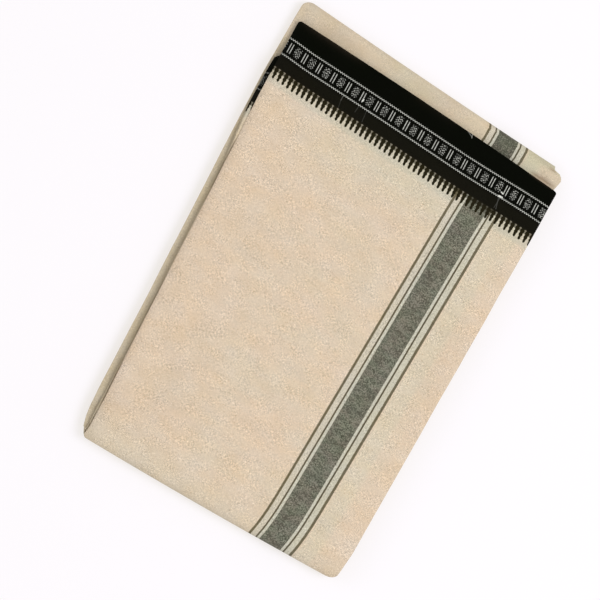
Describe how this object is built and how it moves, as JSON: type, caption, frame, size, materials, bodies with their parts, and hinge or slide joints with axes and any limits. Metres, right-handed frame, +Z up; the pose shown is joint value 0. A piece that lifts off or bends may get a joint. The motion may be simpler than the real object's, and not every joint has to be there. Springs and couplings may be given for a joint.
{
  "type": "folded dhoti cloth",
  "caption": "Cotton dhoti folded flat into a rectangular pack, lying on its underside, with its woven black border along the top edge and a stripe group down the face.",
  "frame": {"origin": "middle of the pack's footprint, on the surface that it lies on", "axes": "+X across the pack towards the cut end beside the stripes, +Y along it towards the near selvedge, +Z up from its underside"},
  "size_m": [0.2187, 0.345, 0.0147],
  "materials": {
    "cream_cotton": "matte hand-loomed cotton with a black woven border and grey stripes",
    "inner_cotton": "matte hand-loomed cotton"
  },
  "bodies": {
    "root": {"front_stretch": "cream_cotton", "under_stretch": "cream_cotton", "second_stretch": "cream_cotton", "hidden_layers": "inner_cotton"}
  },
  "joints": []
}
